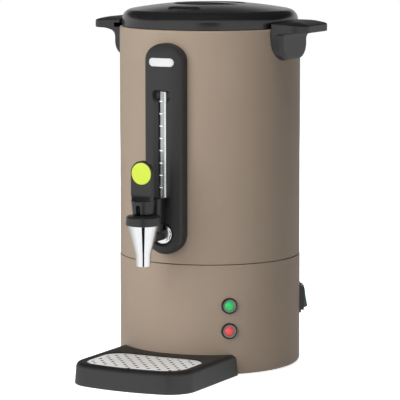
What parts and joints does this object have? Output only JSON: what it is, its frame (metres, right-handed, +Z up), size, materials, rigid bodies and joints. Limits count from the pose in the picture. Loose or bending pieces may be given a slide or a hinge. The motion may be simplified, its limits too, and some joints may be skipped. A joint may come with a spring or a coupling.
{
  "type": "coffee urn",
  "caption": "Tall double-walled percolator coffee urn with a lever tap, level gauge, side handles, lift-off lid and a drip tray at its foot.",
  "frame": {"origin": "on the casing's axis at table level", "axes": "+Z up, -Y to the front where the tap is, +X to the side with the lamps and the switch"},
  "size_m": [0.29, 0.3464, 0.4418],
  "materials": {
    "casing_paint": "satin taupe powder coat",
    "stainless": "brushed",
    "polished_steel": "polished",
    "rubber": "matte",
    "screw_zinc": "zinc plated",
    "element_sheath": "oxidised sheath",
    "clamp_aluminium": "mill finish",
    "sensor_plastic": "moulded",
    "gloss_black": "gloss",
    "black_plastic": "satin moulded",
    "tap_plastic": "satin moulded",
    "green_lens": "clear tinted",
    "red_lens": "clear tinted",
    "green_rocker": "clear tinted",
    "badge_aluminium": "satin",
    "clear_tube": "clear",
    "chrome": "polished",
    "silicone": "matte",
    "lime_disc": "gloss"
  },
  "bodies": {
    "urn": {"upper_casing": "casing_paint", "base_casing": "casing_paint", "inner_vessel": "stainless", "base_plate": "stainless", "rubber_feet": "rubber", "base_screws": "screw_zinc", "brew_element": "element_sheath", "keep_warm_element": "element_sheath", "heater_clamp": "clamp_aluminium", "clamp_nut": "screw_zinc", "thermostat": "sensor_plastic", "thermal_cutout": "sensor_plastic", "terminal_block": "sensor_plastic", "green_lamp_bezel": "gloss_black", "green_lamp_lens": "green_lens", "red_lamp_bezel": "gloss_black", "red_lamp_lens": "red_lens", "lamp_nuts": "black_plastic", "switch_frame": "gloss_black", "cable_gland": "black_plastic", "gland_nut": "black_plastic", "handle_left": "black_plastic", "handle_right": "black_plastic", "handle_screws": "screw_zinc", "gauge_housing": "black_plastic", "housing_screw": "screw_zinc", "badge_plate": "badge_aluminium", "gauge_tube": "clear_tube", "gauge_seals": "rubber", "tap_shank": "tap_plastic", "shank_ring": "chrome", "shank_seals": "silicone", "shank_nut": "stainless", "spout": "chrome", "bonnet": "tap_plastic", "valve_spring": "screw_zinc"},
    "pump": {"pump_tube": "stainless", "pump_foot": "stainless"},
    "pump_washer": {"pump_valve": "stainless"},
    "basket": {"filter_basket": "stainless", "basket_screen": "stainless"},
    "spreader": {"basket_spreader": "stainless"},
    "lid": {"lid": "black_plastic", "lid_gasket": "silicone"},
    "valve": {"valve_stem": "stainless", "seat_cup": "silicone", "lever_pin": "stainless"},
    "lever": {"tap_lever": "tap_plastic", "lever_disc": "lime_disc"},
    "rocker": {"switch_rocker": "green_rocker"},
    "tray": {"drip_tray": "black_plastic"},
    "grid": {"drip_grid": "polished_steel"}
  },
  "joints": [
    {"name": "pump_lift", "type": "slide", "parent": "urn", "child": "pump", "axis": [0, 0, 1], "range_m": [0, 0.3]},
    {"name": "washer_lift", "type": "slide", "parent": "pump", "child": "pump_washer", "axis": [0, 0, 1], "range_m": [0, 0.002]},
    {"name": "basket_lift", "type": "slide", "parent": "pump", "child": "basket", "axis": [0, 0, 1], "range_m": [0, 0.12]},
    {"name": "spreader_lift", "type": "slide", "parent": "basket", "child": "spreader", "axis": [0, 0, 1], "range_m": [0, 0.06]},
    {"name": "lid_lift", "type": "slide", "parent": "spreader", "child": "lid", "axis": [0, 0, 1], "range_m": [0, 0.15]},
    {"name": "valve_lift", "type": "slide", "parent": "urn", "child": "valve", "axis": [0, 0, 1], "range_m": [0, 0.0056], "deforming": ["valve_spring"]},
    {"name": "lever_tilt", "type": "hinge", "parent": "valve", "child": "lever", "pos_m": [0, -0.17, 0.2065], "axis": [1, 0, 0], "range_deg": [0, 40], "stiffness_Nm_per_rad": 0.5, "springref_deg": -5.73},
    {"name": "rocker_tilt", "type": "hinge", "parent": "urn", "child": "rocker", "pos_m": [0.09592, 0.05763, 0.0775], "axis": [-0.515, 0.8572, 0], "range_deg": [0, 18]},
    {"name": "tray_slide", "type": "slide", "parent": "urn", "child": "tray", "axis": [0, -1, 0], "range_m": [0, 0.15]},
    {"name": "grid_lift", "type": "slide", "parent": "tray", "child": "grid", "axis": [0, 0, 1], "range_m": [0, 0.05]}
  ],
  "couplings": [
    {"joint": "valve_lift", "follows": "lever_tilt", "m_per_rad": 0.008}
  ]
}
